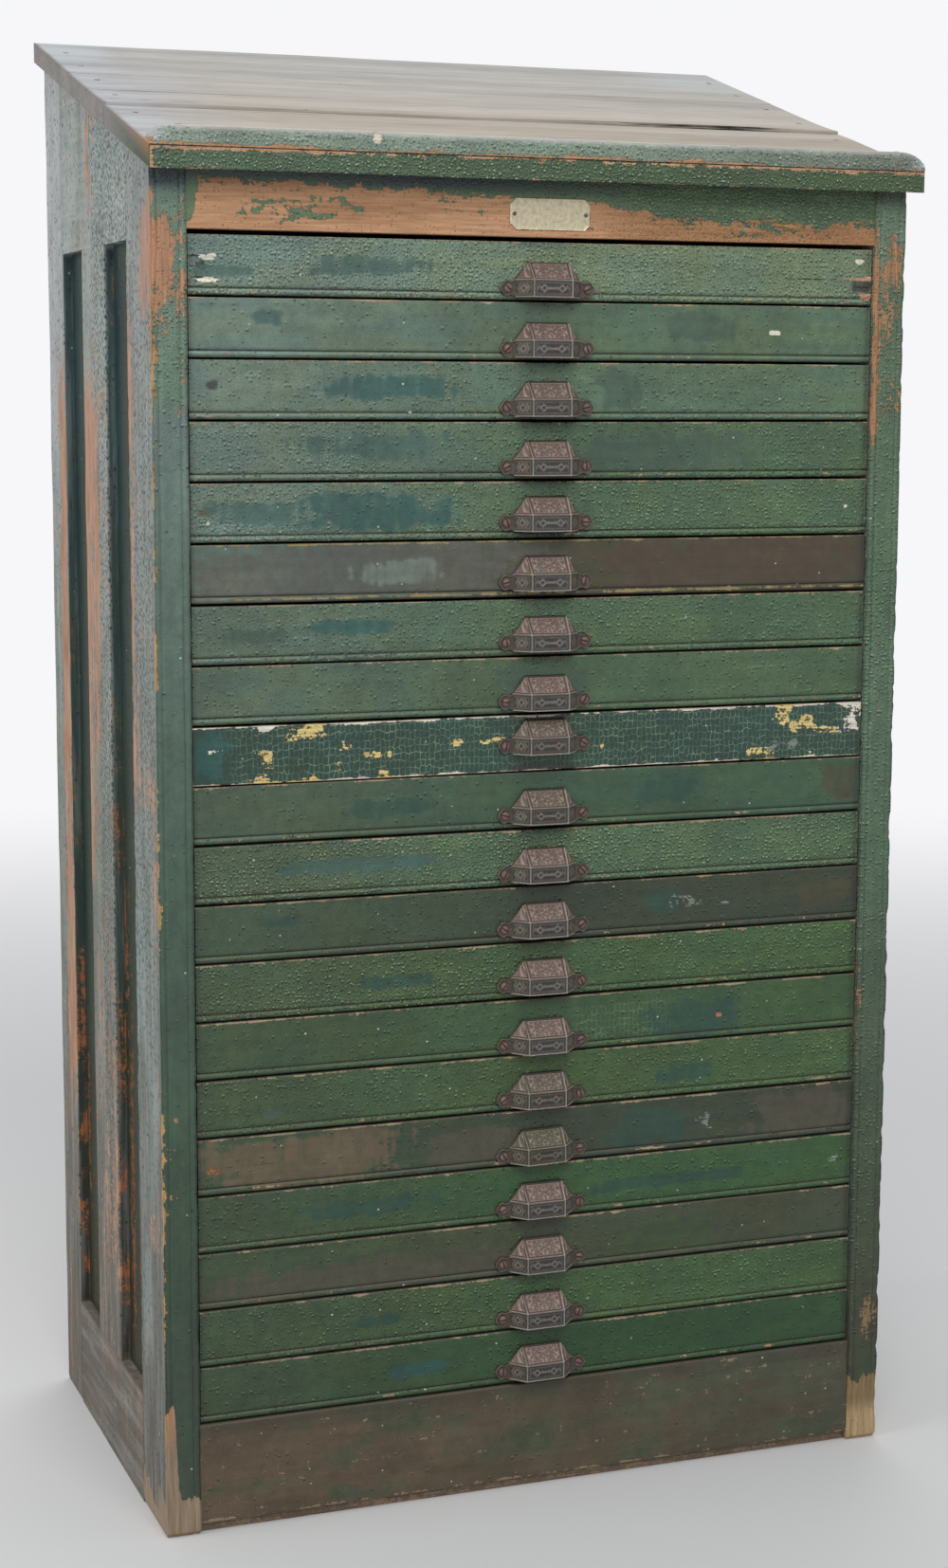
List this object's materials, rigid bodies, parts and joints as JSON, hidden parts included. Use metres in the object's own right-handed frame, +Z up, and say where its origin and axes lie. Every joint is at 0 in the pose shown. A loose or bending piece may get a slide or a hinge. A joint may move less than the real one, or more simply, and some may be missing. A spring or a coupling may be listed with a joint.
{
  "type": "type case cabinet",
  "caption": "Floor-standing cabinet with a sloping top and a tall stack of shallow sliding type cases with hooded cast pulls, in worn green paint.",
  "frame": {"origin": "on the floor, under the middle of the overall box, pulls and top overhangs included", "axes": "+Z up, the fronts of the cases face -Y, +X to the right of someone who faces them"},
  "size_m": [0.755, 0.497, 1.4143],
  "materials": {
    "green_paint": "aged green oil paint on pine, worn to bare wood on the edges",
    "weathered_boards": "weathered grey boards with remnants of paint",
    "inside_wood": "unpainted wood, darkened with age",
    "case_wood": "green painted front, unpainted wooden tray",
    "cast_iron": "rusted cast iron",
    "brass": "aged brass sheet, bare of lettering",
    "steel": "dark nail heads"
  },
  "bodies": {
    "carcass": {"left_front_post": "green_paint", "right_front_post": "green_paint", "rear_posts": "green_paint", "left_side_framing": "green_paint", "right_side_framing": "green_paint", "side_panels": "green_paint", "frieze_rail": "green_paint", "kick_board": "green_paint", "top_boards": "weathered_boards", "top_ledge": "weathered_boards", "left_runners": "inside_wood", "right_runners": "inside_wood", "floor_strip": "inside_wood", "bottom_board": "inside_wood", "back_boards": "inside_wood", "back_framing": "inside_wood", "top_cleats": "inside_wood", "nameplate": "brass", "nameplate_pins": "brass", "cut_nails": "steel"},
    "drawer_01": {"case_01": "case_wood", "pull_01": "cast_iron"},
    "drawer_02": {"case_02": "case_wood", "pull_02": "cast_iron"},
    "drawer_03": {"case_03": "case_wood", "pull_03": "cast_iron"},
    "drawer_04": {"case_04": "case_wood", "pull_04": "cast_iron"},
    "drawer_05": {"case_05": "case_wood", "pull_05": "cast_iron"},
    "drawer_06": {"case_06": "case_wood", "pull_06": "cast_iron"},
    "drawer_07": {"case_07": "case_wood", "pull_07": "cast_iron"},
    "drawer_08": {"case_08": "case_wood", "pull_08": "cast_iron"},
    "drawer_09": {"case_09": "case_wood", "pull_09": "cast_iron"},
    "drawer_10": {"case_10": "case_wood", "pull_10": "cast_iron"},
    "drawer_11": {"case_11": "case_wood", "pull_11": "cast_iron"},
    "drawer_12": {"case_12": "case_wood", "pull_12": "cast_iron"},
    "drawer_13": {"case_13": "case_wood", "pull_13": "cast_iron"},
    "drawer_14": {"case_14": "case_wood", "pull_14": "cast_iron"},
    "drawer_15": {"case_15": "case_wood", "pull_15": "cast_iron"},
    "drawer_16": {"case_16": "case_wood", "pull_16": "cast_iron"},
    "drawer_17": {"case_17": "case_wood", "pull_17": "cast_iron"},
    "drawer_18": {"case_18": "case_wood", "pull_18": "cast_iron"},
    "drawer_19": {"case_19": "case_wood", "pull_19": "cast_iron"},
    "drawer_20": {"case_20": "case_wood", "pull_20": "cast_iron"}
  },
  "joints": [
    {"name": "drawer_01_slide", "type": "slide", "parent": "carcass", "child": "drawer_01", "axis": [0, -1, 0], "range_m": [0, 0.38]},
    {"name": "drawer_02_slide", "type": "slide", "parent": "carcass", "child": "drawer_02", "axis": [0, -1, 0], "range_m": [0, 0.38]},
    {"name": "drawer_03_slide", "type": "slide", "parent": "carcass", "child": "drawer_03", "axis": [0, -1, 0], "range_m": [0, 0.38]},
    {"name": "drawer_04_slide", "type": "slide", "parent": "carcass", "child": "drawer_04", "axis": [0, -1, 0], "range_m": [0, 0.38]},
    {"name": "drawer_05_slide", "type": "slide", "parent": "carcass", "child": "drawer_05", "axis": [0, -1, 0], "range_m": [0, 0.38]},
    {"name": "drawer_06_slide", "type": "slide", "parent": "carcass", "child": "drawer_06", "axis": [0, -1, 0], "range_m": [0, 0.38]},
    {"name": "drawer_07_slide", "type": "slide", "parent": "carcass", "child": "drawer_07", "axis": [0, -1, 0], "range_m": [0, 0.38]},
    {"name": "drawer_08_slide", "type": "slide", "parent": "carcass", "child": "drawer_08", "axis": [0, -1, 0], "range_m": [0, 0.38]},
    {"name": "drawer_09_slide", "type": "slide", "parent": "carcass", "child": "drawer_09", "axis": [0, -1, 0], "range_m": [0, 0.38]},
    {"name": "drawer_10_slide", "type": "slide", "parent": "carcass", "child": "drawer_10", "axis": [0, -1, 0], "range_m": [0, 0.38]},
    {"name": "drawer_11_slide", "type": "slide", "parent": "carcass", "child": "drawer_11", "axis": [0, -1, 0], "range_m": [0, 0.38]},
    {"name": "drawer_12_slide", "type": "slide", "parent": "carcass", "child": "drawer_12", "axis": [0, -1, 0], "range_m": [0, 0.38]},
    {"name": "drawer_13_slide", "type": "slide", "parent": "carcass", "child": "drawer_13", "axis": [0, -1, 0], "range_m": [0, 0.38]},
    {"name": "drawer_14_slide", "type": "slide", "parent": "carcass", "child": "drawer_14", "axis": [0, -1, 0], "range_m": [0, 0.38]},
    {"name": "drawer_15_slide", "type": "slide", "parent": "carcass", "child": "drawer_15", "axis": [0, -1, 0], "range_m": [0, 0.38]},
    {"name": "drawer_16_slide", "type": "slide", "parent": "carcass", "child": "drawer_16", "axis": [0, -1, 0], "range_m": [0, 0.38]},
    {"name": "drawer_17_slide", "type": "slide", "parent": "carcass", "child": "drawer_17", "axis": [0, -1, 0], "range_m": [0, 0.38]},
    {"name": "drawer_18_slide", "type": "slide", "parent": "carcass", "child": "drawer_18", "axis": [0, -1, 0], "range_m": [0, 0.38]},
    {"name": "drawer_19_slide", "type": "slide", "parent": "carcass", "child": "drawer_19", "axis": [0, -1, 0], "range_m": [0, 0.38]},
    {"name": "drawer_20_slide", "type": "slide", "parent": "carcass", "child": "drawer_20", "axis": [0, -1, 0], "range_m": [0, 0.38]}
  ]
}
